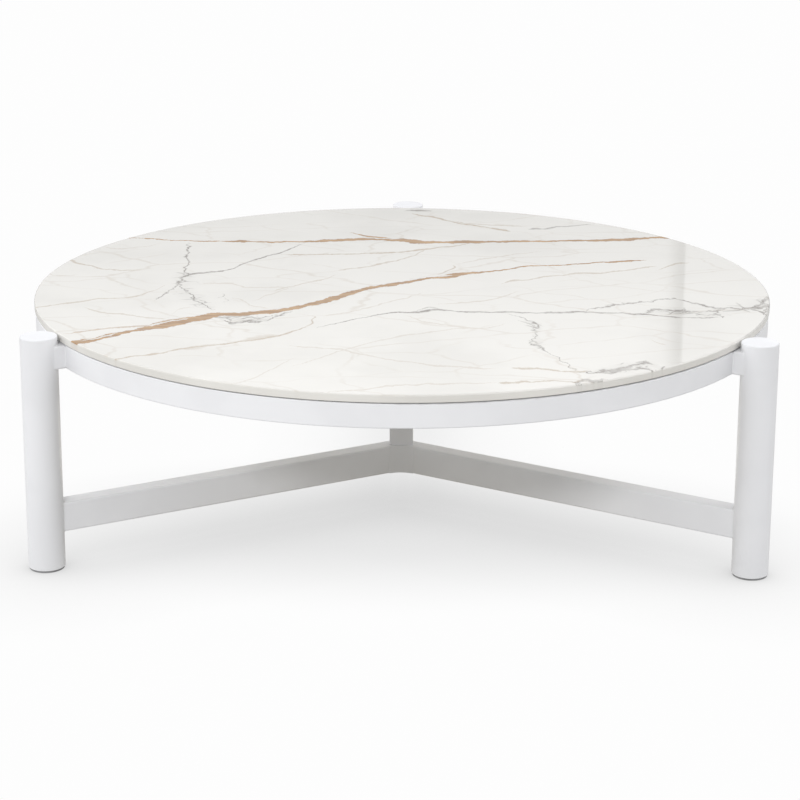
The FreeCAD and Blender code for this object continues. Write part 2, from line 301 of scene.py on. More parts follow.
# Streaks along the gold veins: cells per metre along and across, and the way that they run. The
# lowest values thin the gold, and the band above them runs from dark gold to light.
STREAK_CELLS = (16.0, 75.0, 0.0)
STREAK_TURN = math.radians(-35.0)
STREAK_DETAIL = 5.0
STREAK_ROUGHNESS = 0.6
STREAK_THIN = (0.3, 0.38)
STREAK_TONES = (0.38, 0.62)
THIN_GOLD = 0.45

# A net of hairlines: its cells per metre, how far it is bent in metres, the width of a line as a
# share of a cell, and the noise value under which a line is missing.
Net = namedtuple("Net", "scale bend width gaps")
WIDE_NET = Net(6.0, 0.1, 0.022, 0.34)
FINE_NET = Net(11.0, 0.1, 0.035, 0.4)
CRAZING = Net(26.0, 0.06, 0.08, 0.34)
# NET_STRETCH draws the wide and the fine net out along X. SHOW is how strong a net's lines are, and
# CRAZED_GROUND the least grey in a crazed patch.
NET_STRETCH = (0.5, 1.0, 0.0)
WIDE_NET_SHOW = 0.26
FINE_NET_SHOW = 0.18
CRAZED_GROUND = 0.1
# The noise that bends a net, and the one that breaks its lines: GAP_SCALE is a share of the net's own
# scale, and a line fades in over GAP_FADE above its net's gaps.
BEND_SCALE = 6.0
BEND_DETAIL = 4.0
BEND_ROUGHNESS = 0.6
GAP_SCALE = 0.8
GAP_DETAIL = 3.0
GAP_FADE = 0.2

# Veins show in full on the top face. Between these two depths under it they fade to a trace. They
# are a little duller than the stone round them.
FADE_START = 0.75 * MM
FADE_END = 3.0 * MM
EDGE_SHOW = 0.12
VEIN_DULL = 0.06

# Fine grain of a coat or a moulded face: detail of its ripple, and detail and band of its slow drift.
RIPPLE_DETAIL = 2.0
DRIFT_DETAIL = 3.0
DRIFT_BAND = (0.35, 0.65)
COAT_DRIFT = 120 * MM
COAT_DULL = 0.06

# A moulded finish: its roughness, and the size and depth of its grain.
Mould = namedtuple("Mould", "roughness size depth")
SILICONE = Mould(0.55, 0.8 * MM, 0.03 * MM)
INSERT_PLASTIC = Mould(0.45, 0.8 * MM, 0.04 * MM)
NYLON = Mould(0.5, 0.8 * MM, 0.04 * MM)
MOULD_DRIFT = 20 * MM
MOULD_DULL = 0.1
RUBBED_GAIN = 1.25
RUBBED_LIFT = 0.01

# Zinc plating: size and drift of its spangle, and the share of colour and the roughness where it is dull.
SPANGLE_SIZE = 1.0 * MM
SPANGLE_DRIFT = 6.0 * MM
DULL_ZINC = 0.8
ZINC_DULL_ROUGHNESS = 0.42
ZINC_ROUGHNESS = 0.3

# Weld beads: steps round a tube's corner, along its side and across a bead, how deep a bead's toes
# and its root lie in the tubes, and the angle from which an edge is drawn sharp.
CORNER_STEPS = 5
RUN_STEPS = 10
BEAD_STEPS = 7
SINK = 0.08 * MM
ROOT = 0.8 * MM
SHARP = math.radians(40.0)
# FLAT_SIDE and LEVEL sort the points of a tube's outline by their outward direction: a flat side, the
# upper half or the lower half. POST_MARGIN keeps beads off the post's front face, where the filler is.
# STRAIGHT_BACK tells the rear tubes, which run along Y. FILLER_SIDES are the rails beside the filler.
FLAT_SIDE = 0.99
LEVEL = 0.01
POST_MARGIN = 1.0 * MM
STRAIGHT_BACK = 1e-6
FILLER_SIDES = (("front_left", 1.0), ("front_right", -1.0))

# The studio, by the direction that a ray takes in it: X to the right, Y to the back and Z up, from
# -1 to 1. Each pair is where a change of light starts and where it ends.
SKY_RISE = (0.16, 0.34)
OVERHEAD = (0.5, 0.95)
LEFT_SIDE = (-1.0, -0.2)
RIGHT_SIDE = (0.0, 1.0)
FRONT_TO_BACK = (-1.0, 1.0)
SWEEP_RISE = (0.26, 0.36)
SWEEP_BACK = (0.2, 0.7)
MIRRORED_TILT = 0.4
FLAG_LEFT = math.radians(5.95)
FLAG_RIGHT = math.radians(6.53)
SKY_TINT = (0.985, 0.99, 1.0, 1.0)
WHITE = (1.0, 1.0, 1.0, 1.0)

# The floor, in metres: an oval under the table that the camera sees with a painted shade, where the floor's
# own glow, which stands in for the light it throws back up, is less, and the part under its rear half where
# that glow is more.
OVAL_STRETCH = (0.5, 1.0, 0.0)
OVAL_SHIFT = (0.0, 0.12, 0.0)
OVAL_FADE = (0.1, 0.4)
OVAL_SHADE = 0.85
BACK_START = (0.0, 0.15)
BACK_FADE = (0.4, 0.55)
CONTACT_SAMPLES = 16
SENSOR_WIDTH = 36.0

# Places of the colour sockets on a Mix node.
MIX_FACTOR = 0
MIX_FIRST = 6
MIX_SECOND = 7
MIX_RESULT = 2


class StoneSettings(bpy.types.PropertyGroup):
    """Colours and polish of the stone top."""
    ground: FloatVectorProperty(
        name="Ground", description="Colour of the clear stone", subtype="COLOR", size=3,
        min=0.0, max=1.0, default=(0.722, 0.707, 0.671))
    cloud: FloatVectorProperty(
        name="Cloud", description="Colour of the faint clouds in the stone", subtype="COLOR", size=3,
        min=0.0, max=1.0, default=(0.67, 0.655, 0.62))
    gold_light: FloatVectorProperty(
        name="Light gold", description="Lightest colour in the gold veins", subtype="COLOR", size=3,
        min=0.0, max=1.0, default=(0.43, 0.256, 0.107))
    gold_dark: FloatVectorProperty(
        name="Dark gold", description="Darkest colour in the gold veins", subtype="COLOR", size=3,
        min=0.0, max=1.0, default=(0.295, 0.158, 0.057))
    tan: FloatVectorProperty(
        name="Tan", description="Colour of the thin brown veins", subtype="COLOR", size=3,
        min=0.0, max=1.0, default=(0.43, 0.34, 0.245))
    grey: FloatVectorProperty(
        name="Grey", description="Colour of the grey veins", subtype="COLOR", size=3,
        min=0.0, max=1.0, default=(0.145, 0.124, 0.102))
    polish: FloatProperty(
        name="Polish", description="Roughness of the polished face", subtype="FACTOR",
        min=0.0, max=1.0, default=0.03)


class CoatSettings(bpy.types.PropertyGroup):
    """Powder coat of the frame."""
    colour: FloatVectorProperty(
        name="Colour", description="Colour of the powder coat", subtype="COLOR", size=3,
        min=0.0, max=1.0, default=(0.80, 0.803, 0.822))
    shade: FloatVectorProperty(
        name="Thin coat", description="Colour where the coat lies thinner", subtype="COLOR", size=3,
        min=0.0, max=1.0, default=(0.77, 0.773, 0.792))
    gloss: FloatProperty(
        name="Roughness", description="Roughness of the satin coat", subtype="FACTOR",
        min=0.0, max=1.0, default=0.34)
    peel_size: FloatProperty(
        name="Peel size", description="Spacing of the orange-peel ripple", unit="LENGTH",
        min=0.0002, max=0.02, default=0.0022)
    peel_height: FloatProperty(
        name="Peel height", description="Height of the orange-peel ripple", unit="LENGTH",
        min=0.0, max=0.001, default=0.00004)


class SmallPartSettings(bpy.types.PropertyGroup):
    """Colours of the pads, inserts, glides and stems."""
    pad: FloatVectorProperty(
        name="Pad", description="Colour of the silicone pads", subtype="COLOR", size=3,
        min=0.0, max=1.0, default=(0.30, 0.30, 0.30))
    insert: FloatVectorProperty(
        name="Insert", description="Colour of the plastic foot inserts", subtype="COLOR", size=3,
        min=0.0, max=1.0, default=(0.03, 0.03, 0.032))
    glide: FloatVectorProperty(
        name="Glide", description="Colour of the nylon glides", subtype="COLOR", size=3,
        min=0.0, max=1.0, default=(0.20, 0.20, 0.205))
    stem: FloatVectorProperty(
        name="Stem", description="Colour of the plated stems", subtype="COLOR", size=3,
        min=0.0, max=1.0, default=(0.58, 0.59, 0.60))
    thread_pitch: FloatProperty(
        name="Thread pitch", description="Pitch of the thread on the stems", unit="LENGTH",
        min=0.0005, max=0.003, default=0.0015)


class WeldSettings(bpy.types.PropertyGroup):
    """Sizes of the dressed weld beads."""
    leg_reach: FloatProperty(
        name="Leg bead", description="Reach of the beads where tubes meet a leg", unit="LENGTH",
        min=0.0005, max=0.0035, default=0.003)
    ring_reach: FloatProperty(
        name="Ring bead", description="Reach of the beads where tubes meet the ring", unit="LENGTH",
        min=0.0005, max=0.006, default=0.003)
    hub_reach: FloatProperty(
        name="Post bead", description="Reach of the beads round the post", unit="LENGTH",
        min=0.0005, max=0.006, default=0.0025)
    tube_corner: FloatProperty(
        name="Tube corner", description="Corner radius of the welded tubes", unit="LENGTH",
        min=0.0005, max=0.006, default=0.003)
    seam_width: FloatProperty(
        name="Seam width", description="Width of the seams beside the corner filler", unit="LENGTH",
        min=0.0005, max=0.006, default=0.0024)
    seam_rise: FloatProperty(
        name="Seam rise", description="How far those seams stand proud", unit="LENGTH",
        min=0.0001, max=0.002, default=0.0005)


class StageSettings(bpy.types.PropertyGroup):
    """Floor, light and camera."""
    floor_size: FloatProperty(
        name="Floor", description="Width of the floor", unit="LENGTH",
        min=2.0, max=200.0, default=80.0)
    floor_colour: FloatVectorProperty(
        name="Floor scatter", description="Share of the light on the floor that it scatters",
        subtype="COLOR", size=3, min=0.0, max=1.0, default=(0.12, 0.12, 0.115))
    # The floor glows with these colours, light of its own painted in to stand in for light thrown back up:
    # dimmer under the table where it would be shaded, brighter under the rear half.
    floor_bounce_glow: FloatVectorProperty(
        name="Floor bounce", description="Light that the open floor throws back up",
        subtype="COLOR", size=3, min=0.0, max=1.0, default=(0.455, 0.45, 0.44))
    under_bounce_glow: FloatVectorProperty(
        name="Bounce below", description="Light that the floor under the table throws back up",
        subtype="COLOR", size=3, min=0.0, max=1.0, default=(0.22, 0.20, 0.155))
    back_bounce_glow: FloatVectorProperty(
        name="Bounce behind", description="Light that the floor under the rear half throws back up",
        subtype="COLOR", size=3, min=0.0, max=3.0, default=(1.7, 1.65, 1.54))
    # What the camera sees of the floor: a white glow with a painted contact shadow under the pieces, and a
    # painted shade in the oval under the table.
    floor_white: FloatVectorProperty(
        name="Floor white", description="White that the lit floor shows",
        subtype="COLOR", size=3, min=0.0, max=1.0, default=(0.985, 0.985, 0.985))
    contact_reach: FloatProperty(
        name="Contact shade", description="How far above the floor a piece still shades it",
        unit="LENGTH", min=0.01, max=2.0, default=0.28)
    contact_depth: FloatProperty(
        name="Contact depth", description="How dark the shade under a piece gets",
        subtype="FACTOR", min=0.0, max=1.0, default=0.55)
    sky_low: FloatProperty(
        name="Low light", description="Brightness of the studio near the floor",
        min=0.0, max=5.0, default=0.42)
    sky_high: FloatProperty(
        name="High light", description="Brightness of the studio above its lowest part",
        min=0.0, max=5.0, default=1.03)
    sky_over: FloatProperty(
        name="Overhead light", description="Share of that brightness that is left straight above",
        min=0.0, max=5.0, default=0.39)
    sky_left: FloatProperty(
        name="Left light", description="How many times brighter the studio is on the left",
        min=0.0, max=5.0, default=2.9)
    sky_right: FloatProperty(
        name="Right light", description="How many times brighter the studio is high on the right",
        min=0.0, max=5.0, default=2.8)
    low_right: FloatProperty(
        name="Low right light", description="How many times brighter the studio is low on the right",
        min=0.0, max=5.0, default=1.4)
    sky_front: FloatProperty(
        name="Front light", description="Share of the studio light in front",
        min=0.0, max=2.0, default=0.62)
    sky_back: FloatProperty(
        name="Back light", description="Share of the studio light behind",
        min=0.0, max=2.0, default=1.15)
    sweep_light: FloatProperty(
        name="Sweep", description="Brightness of the sweep low behind the table",
        min=0.0, max=5.0, default=0.9)
    key_power: FloatProperty(
        name="Key", description="Power of the light at the front left", unit="POWER",
        min=0.0, max=2000.0, default=71.0)
    key_size: FloatProperty(
        name="Key size", description="Width of the light at the front left", unit="LENGTH",
        min=0.05, max=5.0, default=0.6)
    key_place: FloatVectorProperty(
        name="Key place", description="Place of the light at the front left",
        subtype="TRANSLATION", unit="LENGTH", size=3, default=(-1.26, -4.12, 2.54))
    flag_depth: FloatProperty(
        name="Flag", description="How dark the narrow flag behind the table is",
        subtype="FACTOR", min=0.0, max=1.0, default=0.58)
    camera_place: FloatVectorProperty(
        name="Camera", description="Place of the camera",
        subtype="TRANSLATION", unit="LENGTH", size=3, default=(0.0602, -3.6013, 1.3163))
    camera_turn: FloatVectorProperty(
        name="Camera turn", description="Downward pitch, yaw and roll of the camera",
        subtype="EULER", unit="ROTATION", size=3,
        default=(math.radians(14.903), math.radians(-1.0131), math.radians(-0.2296)))
    camera_lens: FloatProperty(
        name="Lens", description="Focal length in millimetres on a 36 mm sensor",
        min=10.0, max=500.0, default=99.73)
    camera_shift: FloatProperty(
        name="Shift", description="Vertical shift of the lens as a share of the width",
        min=-1.0, max=1.0, default=-0.125)


def feed(tree, value, socket):
    """Links a socket, or sets a plain value on it."""
    if isinstance(value, bpy.types.NodeSocket):
        tree.links.new(value, socket)
    else:
        socket.default_value = value


def calculate(tree, operation, first, second=None):
    """Math node of one or two values."""
    node = tree.nodes.new("ShaderNodeMath")
    node.operation = operation
    feed(tree, first, node.inputs[0])
    if second is not None:
        feed(tree, second, node.inputs[1])
    return node.outputs[0]


def multiply(tree, first, second):
    """Product of two values."""
    return calculate(tree, "MULTIPLY", first, second)


def larger(tree, first, second):
    """The larger of two values."""
    return calculate(tree, "MAXIMUM", first, second)


def spread(tree, value, low, high, to_low=0.0, to_high=1.0, smooth=False):
    """Map Range node, clamped."""
    node = tree.nodes.new("ShaderNodeMapRange")
    node.interpolation_type = "SMOOTHSTEP" if smooth else "LINEAR"
    for label, item in (("Value", value), ("From Min", low), ("From Max", high),
                        ("To Min", to_low), ("To Max", to_high)):
        feed(tree, item, node.inputs[label])
    return node.outputs["Result"]


def blend_colours(tree, factor, first, second):
    """Mix node of two colours."""
    node = tree.nodes.new("ShaderNodeMix")
    node.data_type = "RGBA"
    feed(tree, factor, node.inputs[MIX_FACTOR])
    for place, colour in ((MIX_FIRST, first), (MIX_SECOND, second)):
        plain = not isinstance(colour, bpy.types.NodeSocket)
        feed(tree, (*colour, 1.0) if plain else colour, node.inputs[place])
    return node.outputs[MIX_RESULT]


def mix_shaders(tree, factor, first, second):
    """Mix Shader node of two shaders."""
    node = tree.nodes.new("ShaderNodeMixShader")
    for socket, value in zip(node.inputs, (factor, first, second)):
        feed(tree, value, socket)
    return node.outputs[0]


def split_axes(tree, vector):
    """X, Y and Z of a vector."""
    node = tree.nodes.new("ShaderNodeSeparateXYZ")
    feed(tree, vector, node.inputs[0])
    return node.outputs


def vector_length(tree, vector):
    """Length of a vector."""
    node = tree.nodes.new("ShaderNodeVectorMath")
    node.operation = "LENGTH"
    feed(tree, vector, node.inputs[0])
    return node.outputs["Value"]


def noise(tree, vector, scale, detail, roughness=0.5):
    """Noise node that gives a value."""
    node = tree.nodes.new("ShaderNodeTexNoise")
    feed(tree, vector, node.inputs["Vector"])
    for label, value in (("Scale", scale), ("Detail", detail), ("Roughness", roughness)):
        feed(tree, value, node.inputs[label])
    return node.outputs["Fac"]


def ripple(tree, vector, kind, to_low=0.0, to_high=1.0, smooth=False):
    """One of the stone's noises, spread between two values."""
    value = noise(tree, vector, kind.scale, kind.detail, kind.roughness)
    return spread(tree, value, kind.low, kind.high, to_low, to_high, smooth)


def stretched(tree, vector, scale, turn=0.0):
    """Mapping node that turns about Z and stretches coordinates."""
    node = tree.nodes.new("ShaderNodeMapping")
    feed(tree, vector, node.inputs["Vector"])
    node.inputs["Scale"].default_value = scale
    node.inputs["Rotation"].default_value = (0.0, 0.0, turn)
    return node.outputs["Vector"]


def group_of(name, inputs, outputs):
    """Empty shader node group with named sockets, with its input and output sockets."""
    group = bpy.data.node_groups.new(name, "ShaderNodeTree")
    for label, kind, value in inputs:
        socket = group.interface.new_socket(label, in_out="INPUT", socket_type=kind)
        if value is not None:
            socket.default_value = value
    for label, kind in outputs:
        group.interface.new_socket(label, in_out="OUTPUT", socket_type=kind)
    return group, group.nodes.new("NodeGroupInput").outputs, group.nodes.new("NodeGroupOutput").inputs


def place_group(tree, group, **values):
    """Outputs of a node that uses a group; an underscore in a word stands for a space."""
    node = tree.nodes.new("ShaderNodeGroup")
    node.node_tree = group
    for label, value in values.items():
        feed(tree, value, node.inputs[label.replace("_", " ")])
    return node.outputs


def vein_group():
    """Mask of one stone vein, joined to the mask of the veins before it."""
    group, given, made = group_of(
        "stone_vein",
        (("Below", "NodeSocketFloat", 0.0), ("Across", "NodeSocketFloat", 0.0),
         ("Course", "NodeSocketFloat", 0.0), ("Half Width", "NodeSocketFloat", 0.0),
         ("Grain", "NodeSocketFloat", 0.0), ("Swell", "NodeSocketFloat", 1.0),
         ("Wander", "NodeSocketFloat", 0.004), ("Softness", "NodeSocketFloat", 0.5),
         ("Strength", "NodeSocketFloat", 1.0)),
        (("Mask", "NodeSocketFloat"),))
    width = multiply(group, given["Half Width"], given["Swell"])
    offset = calculate(group, "SUBTRACT", given["Across"], given["Course"])
    offset = calculate(group, "ADD", offset, multiply(group, given["Grain"], given["Wander"]))
    width = calculate(group, "SUBTRACT", width, VEIN_TRIM)
    inside = calculate(group, "SUBTRACT", width, calculate(group, "ABSOLUTE", offset))
    soft = larger(group, multiply(group, width, given["Softness"]), SOFT_LEAST)
    mask = multiply(group, spread(group, inside, 0.0, soft, smooth=True), given["Strength"])
    feed(group, larger(group, mask, given["Below"]), made["Mask"])
    return group


def hairline_group():
    """Mask of a broken net of hairlines."""
    group, given, made = group_of(
        "stone_hairlines",
        (("Vector", "NodeSocketVector", None), ("Scale", "NodeSocketFloat", 6.0),
         ("Bend", "NodeSocketFloat", 0.1), ("Width", "NodeSocketFloat", 0.02),
         ("Gaps", "NodeSocketFloat", 0.5)),
        (("Mask", "NodeSocketFloat"),))
    waves = group.nodes.new("ShaderNodeTexNoise")
    feed(group, given["Vector"], waves.inputs["Vector"])
    waves.inputs["Scale"].default_value = BEND_SCALE
    waves.inputs["Detail"].default_value = BEND_DETAIL
    waves.inputs["Roughness"].default_value = BEND_ROUGHNESS
    shift = group.nodes.new("ShaderNodeVectorMath")
    shift.operation = "SCALE"
    feed(group, waves.outputs["Color"], shift.inputs[0])
    feed(group, given["Bend"], shift.inputs["Scale"])
    moved = group.nodes.new("ShaderNodeVectorMath")
    feed(group, shift.outputs[0], moved.inputs[0])
    feed(group, given["Vector"], moved.inputs[1])
    cells = group.nodes.new("ShaderNodeTexVoronoi")
    cells.voronoi_dimensions = "2D"
    cells.feature = "DISTANCE_TO_EDGE"
    feed(group, moved.outputs[0], cells.inputs["Vector"])
    feed(group, given["Scale"], cells.inputs["Scale"])
    line = spread(group, cells.outputs["Distance"], 0.0, given["Width"], 1.0, 0.0, smooth=True)
    presence = noise(group, given["Vector"], multiply(group, given["Scale"], GAP_SCALE), GAP_DETAIL)
    full = calculate(group, "ADD", given["Gaps"], GAP_FADE)
    kept = spread(group, presence, given["Gaps"], full, smooth=True)
    feed(group, multiply(group, line, kept), made["Mask"])
    return group


def fine_grain_group():
    """Fine ripple of a coat or a moulded face, and a slow drift of its tone."""
    group, given, made = group_of(
        "fine_grain",
        (("Vector", "NodeSocketVector", None), ("Size", "NodeSocketFloat", 0.002),
         ("Drift", "NodeSocketFloat", 0.3)),
        (("Height", "NodeSocketFloat"), ("Tone", "NodeSocketFloat")))
    fine = noise(group, given["Vector"], calculate(group, "DIVIDE", 1.0, given["Size"]), RIPPLE_DETAIL)
    slow = noise(group, given["Vector"], calculate(group, "DIVIDE", 1.0, given["Drift"]), DRIFT_DETAIL)
    feed(group, fine, made["Height"])
    feed(group, spread(group, slow, *DRIFT_BAND, smooth=True), made["Tone"])
    return group


def new_material(name):
    """Material with its tree, its Principled BSDF and object coordinates."""
    material = bpy.data.materials.new(name)
    material.use_nodes = True
    tree = material.node_tree
    shader = tree.nodes["Principled BSDF"]
    place = tree.nodes.new("ShaderNodeTexCoord").outputs["Object"]
    return material, tree, shader, place


def bump(tree, shader, height, distance):
    """Bump node that feeds the shader's normal."""
    node = tree.nodes.new("ShaderNodeBump")
    node.inputs["Strength"].default_value = 1.0
    node.inputs["Distance"].default_value = distance
    feed(tree, height, node.inputs["Height"])
    feed(tree, node.outputs["Normal"], shader.inputs["Normal"])


def dress(material, *nodes):
    """Puts a material on CAD nodes."""
    for name in nodes:
        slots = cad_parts[name].material_slots
        if not slots:
            raise RuntimeError("no material slot on " + name)
        for slot in slots:
            slot.material = material


def length_curve(tree, along, spots, sharp):
    """Float Curve node through spots in millimetres, level beyond its ends."""
    node = tree.nodes.new("ShaderNodeFloatCurve")
    feed(tree, along, node.inputs["Value"])
    first, last = spots[0], spots[-1]
    spots = ((first[0] - END_RUN, first[1]), *spots, (last[0] + END_RUN, last[1]))
    mapping = node.mapping
    mapping.use_clip = False
    mapping.extend = "HORIZONTAL"
    points = mapping.curves[0].points
    while len(points) < len(spots):
        points.new(0.0, 0.0)
    for point, spot in zip(points, spots):
        point.location = (spot[0] * MM, spot[1] * MM)
        point.handle_type = "VECTOR" if sharp else "AUTO_CLAMPED"
    mapping.update()
    return node.outputs["Value"]


def stone_material(settings):
    """Polished pale stone with gold, tan and grey veins."""
    material, tree, shader, place = new_material("polished_stone")
    axes = split_axes(tree, place)
    runs = {"x": (axes["X"], axes["Y"]), "y": (axes["Y"], axes["X"])}
    flat = stretched(tree, place, (1.0, 1.0, 0.0))
    edges = ripple(tree, flat, VEIN_EDGES, -1.0, 1.0)
    crack_edges = ripple(tree, flat, CRACK_EDGES, -1.0, 1.0)
    swell = ripple(tree, flat, VEIN_SWELL, SWELL_LEAST, SWELL_MOST)
    vein = vein_group()
    hairlines = hairline_group()

    def masked(veins, manner, grain=edges):
        """Mask of all the veins of one kind."""
        mask = 0.0
        for item in veins:
            along, across = runs[item.axis]
            course = length_curve(tree, along, [(spot[0], spot[1]) for spot in item.course], manner.sharp)
            half = length_curve(tree, along, [(spot[0], spot[2]) for spot in item.course], manner.sharp)
            mask = place_group(
                tree, vein, Below=mask, Across=across, Course=course, Half_Width=half, Grain=grain,
                Swell=swell, Wander=manner.wander[item.axis], Softness=manner.softness,
                Strength=item.strength)["Mask"]
        return mask

    def netted(net, vector):
        """Mask of one net of hairlines."""
        return place_group(tree, hairlines, Vector=vector, Scale=net.scale, Bend=net.bend,
                           Width=net.width, Gaps=net.gaps)["Mask"]

    face = spread(tree, axes["Z"], TOP_LEVEL - FADE_END, TOP_LEVEL - FADE_START, EDGE_SHOW, 1.0, smooth=True)
    along_gold = stretched(tree, place, STREAK_CELLS, STREAK_TURN)
    streaks = noise(tree, along_gold, 1.0, STREAK_DETAIL, STREAK_ROUGHNESS)
    splits = masked(GOLD_SPLITS, SPLIT_MANNER)
    gold_mask = masked(GOLD_VEINS, GOLD_MANNER)
    gold_mask = multiply(tree, gold_mask, spread(tree, streaks, *STREAK_THIN, THIN_GOLD, 1.0, smooth=True))
    gold_mask = multiply(tree, gold_mask, spread(tree, splits, 0.0, 1.0, 1.0, 0.0))
    gold_mask = multiply(tree, gold_mask, face)
    tan_mask = masked(TAN_VEINS, TAN_MANNER)
    grey_mask = masked(GREY_VEINS, GREY_MANNER)
    grey_mask = larger(tree, grey_mask, masked(GREY_CRACKS, CRACK_MANNER, crack_edges))
    drawn_out = stretched(tree, place, NET_STRETCH)
    wide_net = netted(WIDE_NET, drawn_out)
    fine_net = netted(FINE_NET, drawn_out)
    crazing = netted(CRAZING, flat)
    patches = masked(CRAZED_PATCHES, PATCH_MANNER)
    crazing = multiply(tree, larger(tree, crazing, CRAZED_GROUND), patches)
    clouds = ripple(tree, place, STONE_CLOUDS, smooth=True)
    colour = blend_colours(tree, clouds, settings.ground, settings.cloud)
    lines = larger(tree, multiply(tree, fine_net, FINE_NET_SHOW), multiply(tree, wide_net, WIDE_NET_SHOW))
    lines = larger(tree, lines, tan_mask)
    colour = blend_colours(tree, multiply(tree, lines, face), colour, settings.tan)
    broken = ripple(tree, flat, GREY_BREAKS, BROKEN_GREY, 1.0)
    grey_mask = larger(tree, multiply(tree, grey_mask, broken), crazing)
    colour = blend_colours(tree, multiply(tree, grey_mask, face), colour, settings.grey)
    gold_tone = spread(tree, streaks, *STREAK_TONES, smooth=True)
    gold = blend_colours(tree, gold_tone, settings.gold_dark, settings.gold_light)
    feed(tree, blend_colours(tree, gold_mask, colour, gold), shader.inputs["Base Color"])
    rough = spread(tree, larger(tree, gold_mask, grey_mask), 0.0, 1.0,
                   settings.polish, settings.polish + VEIN_DULL)
    feed(tree, rough, shader.inputs["Roughness"])
    return material


def coat_material(settings, grain):
    """White satin powder coat with a fine orange peel."""
    material, tree, shader, place = new_material("white_powder_coat")
    made = place_group(tree, grain, Vector=place, Size=settings.peel_size, Drift=COAT_DRIFT)
    colour = blend_colours(tree, made["Tone"], settings.shade, settings.colour)
    feed(tree, colour, shader.inputs["Base Color"])
    feed(tree, spread(tree, made["Tone"], 0.0, 1.0, settings.gloss + COAT_DULL, settings.gloss),
         shader.inputs["Roughness"])
    bump(tree, shader, made["Height"], settings.peel_height)
    return material


def moulded_material(name, colour, mould, grain):
    """Moulded rubber or plastic with a fine matt grain."""
    material, tree, shader, place = new_material(name)
    made = place_group(tree, grain, Vector=place, Size=mould.size, Drift=MOULD_DRIFT)
    rubbed = [min(1.0, channel * RUBBED_GAIN + RUBBED_LIFT) for channel in colour]
    feed(tree, blend_colours(tree, made["Tone"], colour, rubbed), shader.inputs["Base Color"])
    feed(tree, spread(tree, made["Tone"], 0.0, 1.0, mould.roughness, mould.roughness + MOULD_DULL),
         shader.inputs["Roughness"])
    bump(tree, shader, made["Height"], mould.depth)
    return material


def stem_material(settings, grain):
    """Zinc-plated steel with a cut thread."""
    material, tree, shader, place = new_material("zinc_plated_steel")
    made = place_group(tree, grain, Vector=place, Size=SPANGLE_SIZE, Drift=SPANGLE_DRIFT)
    dull = [channel * DULL_ZINC for channel in settings.stem]
    feed(tree, blend_colours(tree, made["Tone"], dull, settings.stem), shader.inputs["Base Color"])
    feed(tree, spread(tree, made["Tone"], 0.0, 1.0, ZINC_DULL_ROUGHNESS, ZINC_ROUGHNESS),
         shader.inputs["Roughness"])
    shader.inputs["Metallic"].default_value = 1.0
    pitch = settings.thread_pitch
    thread = calculate(tree, "PINGPONG", split_axes(tree, place)["Z"], pitch / 2)
    bump(tree, shader, calculate(tree, "DIVIDE", thread, pitch), pitch)
    return material


def leg_azimuth(name):
    """Direction of a leg from the centre of the table."""
    middle = node_middle("leg_" + name)
    return math.atan2(middle.y, middle.x)


def polar(azimuth, reach, side, height):
    """Point that far out along an azimuth, to its left and up."""
    out = Vector((math.cos(azimuth), math.sin(azimuth), 0.0))
    left = Vector((-out.y, out.x, 0.0))
    return out * reach + left * side + Vector((0.0, 0.0, height))


TubePoint = namedtuple("TubePoint", "side height out_side out_height")


def tube_outline(width, low, high, corner):
    """Points round a rectangular tube with rounded corners, each with its outward direction."""
    half = width / 2 - corner
    middles = ((half, high - corner), (-half, high - corner), (-half, low + corner), (half, low + corner))
    corners = []
    for index, (side, height) in enumerate(middles):
        for step in range(CORNER_STEPS + 1):
            angle = math.radians(90.0) * (index + step / CORNER_STEPS)
            out_side, out_height = math.cos(angle), math.sin(angle)
            corners.append(TubePoint(
                side + corner * out_side, height + corner * out_height, out_side, out_height))
    outline = []
    for index, point in enumerate(corners):
        outline.append(point)
        if index % (CORNER_STEPS + 1) == CORNER_STEPS:
            following = corners[(index + 1) % len(corners)]
            for step in range(1, RUN_STEPS):
                share = step / RUN_STEPS
                outline.append(TubePoint(*(a + (b - a) * share for a, b in zip(point, following))))
    return outline


def stretch_of(outline, kept):
    """The unbroken stretch of an outline whose points pass a test, in order."""
    first = next(i for i in range(len(outline)) if kept(outline[i]) and not kept(outline[i - 1]))
    return [point for point in outline[first:] + outline[:first] if kept(point)]


def fillet_row(start, corner, end, root):
    """Section of a bead: a hollow curve from start to end, closed behind at its root."""
    row = []
    for step in range(BEAD_STEPS + 1):
        share = step / BEAD_STEPS
        row.append(start.lerp(corner, share).lerp(corner.lerp(end, share), share))
    row.append(root)
    return row


def tube_bead(azimuth, outline, face, reach, away):
    """Sections of a bead round a tube that ends on a face; away is 1 where the tube lies beyond the face."""
    rows = []
    for point in outline:
        toe_side = point.side + point.out_side * reach
        toe_height = point.height + point.out_height * reach
        start = polar(azimuth, face(point.side) + away * reach, point.side - point.out_side * SINK,
                      point.height - point.out_height * SINK)
        corner = polar(azimuth, face(point.side), point.side, point.height)
        end = polar(azimuth, face(toe_side) - away * SINK, toe_side, toe_height)
        root = polar(azimuth, face(point.side) - away * ROOT, point.side - point.out_side * ROOT,
                     point.height - point.out_height * ROOT)
        rows.append(fillet_row(start, corner, end, root))
    return rows


def filler_seam(name, hand, sizes):
    """Sections of one seam beside the corner filler, up the side of a front rail."""
    azimuth = leg_azimuth(name)
    side = hand * RAIL_WIDTH / 2
    out = polar(azimuth, 0.0, hand, 0.0)
    along = polar(azimuth, 1.0, 0.0, 0.0)
    rows = []
    for height in (RAIL_LOW + sizes.tube_corner, RAIL_HIGH - sizes.tube_corner):
        middle = polar(azimuth, post_face(azimuth)(side), side, height)
        row = []
        for step in range(BEAD_STEPS + 1):
            angle = math.pi * step / BEAD_STEPS
            row.append(middle + along * math.cos(angle) * sizes.seam_width / 2
                       + out * math.sin(angle) * sizes.seam_rise)
        row.append(middle - out * ROOT)
        rows.append(row)
    return rows


